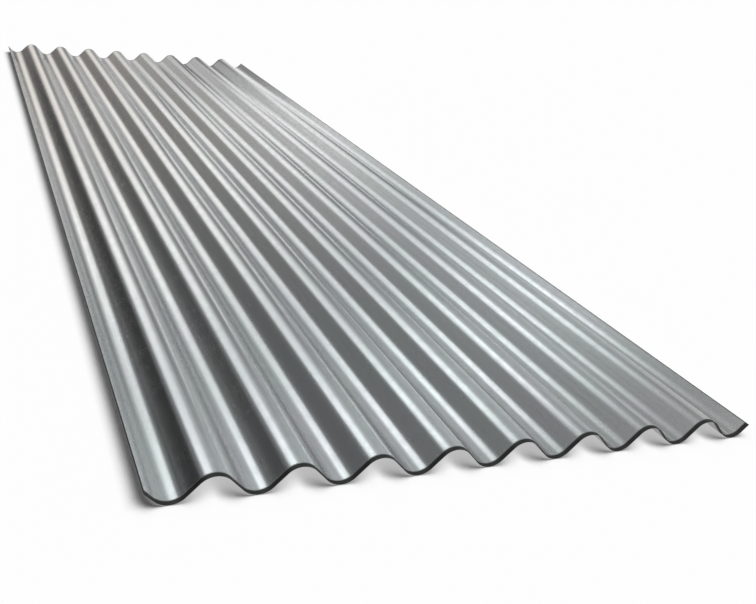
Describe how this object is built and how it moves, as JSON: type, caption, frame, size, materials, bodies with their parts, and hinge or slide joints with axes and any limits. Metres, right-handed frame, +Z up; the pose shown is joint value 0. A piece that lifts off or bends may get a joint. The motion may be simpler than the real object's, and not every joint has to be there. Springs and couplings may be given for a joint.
{
  "type": "corrugated metal sheet",
  "caption": "Round-wave corrugated roofing and cladding sheet of bright zinc-coated steel, lying flat with its waves along the length.",
  "frame": {"origin": "middle of the rectangle that the sheet lies on: halfway along it and halfway across it, at the lowest line of the middle valley", "axes": "+X across the waves, +Y along the waves and the length, +Z up, out of the face that is seen"},
  "size_m": [0.6528, 2.1336, 0.0238],
  "materials": {
    "zinc_coated_steel": "bright zinc coat, fine rolling lines along the waves, unpainted"
  },
  "bodies": {
    "root": {"corrugated_sheet": "zinc_coated_steel"}
  },
  "joints": []
}
